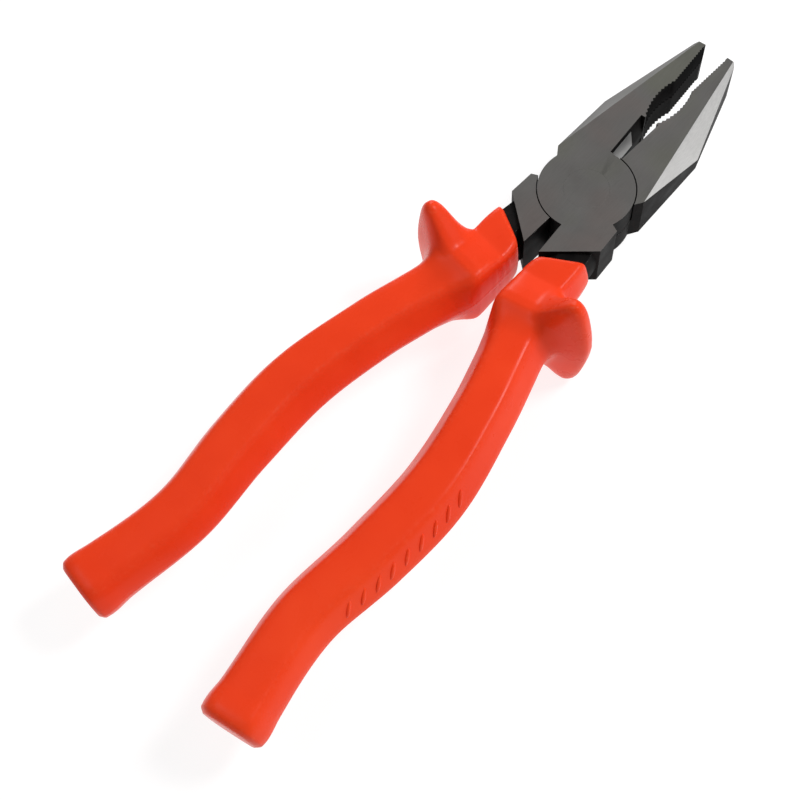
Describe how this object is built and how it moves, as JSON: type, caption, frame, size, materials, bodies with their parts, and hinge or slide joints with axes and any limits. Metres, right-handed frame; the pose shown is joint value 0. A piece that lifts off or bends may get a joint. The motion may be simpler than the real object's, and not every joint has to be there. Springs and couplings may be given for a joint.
{
  "type": "lineman pliers",
  "caption": "Lineman pliers with serrated nose, pipe grip and side cutter, a riveted lap joint and moulded insulating grips with hand guards.",
  "frame": {"origin": "on the joint's axis, on the flat underside of the joint", "axes": "+X points along the closed jaws, +Y to the jaw of the upper half, +Z along the joint's axis out of the upper face"},
  "size_m": [0.2068, 0.0614, 0.0348],
  "materials": {
    "forged_steel": "blackened forging with ground faces",
    "rivet_steel": "ground flush",
    "grip": "glossy moulded vinyl"
  },
  "bodies": {
    "upper": {"upper_half": "forged_steel", "pivot_rivet": "rivet_steel", "right_grip": "grip"},
    "lower": {"lower_half": "forged_steel", "left_grip": "grip"}
  },
  "joints": [
    {"name": "pivot", "type": "hinge", "parent": "upper", "child": "lower", "pos_m": [0, 0, 0], "axis": [0, 0, -1], "range_deg": [-6.4, 33]}
  ]
}
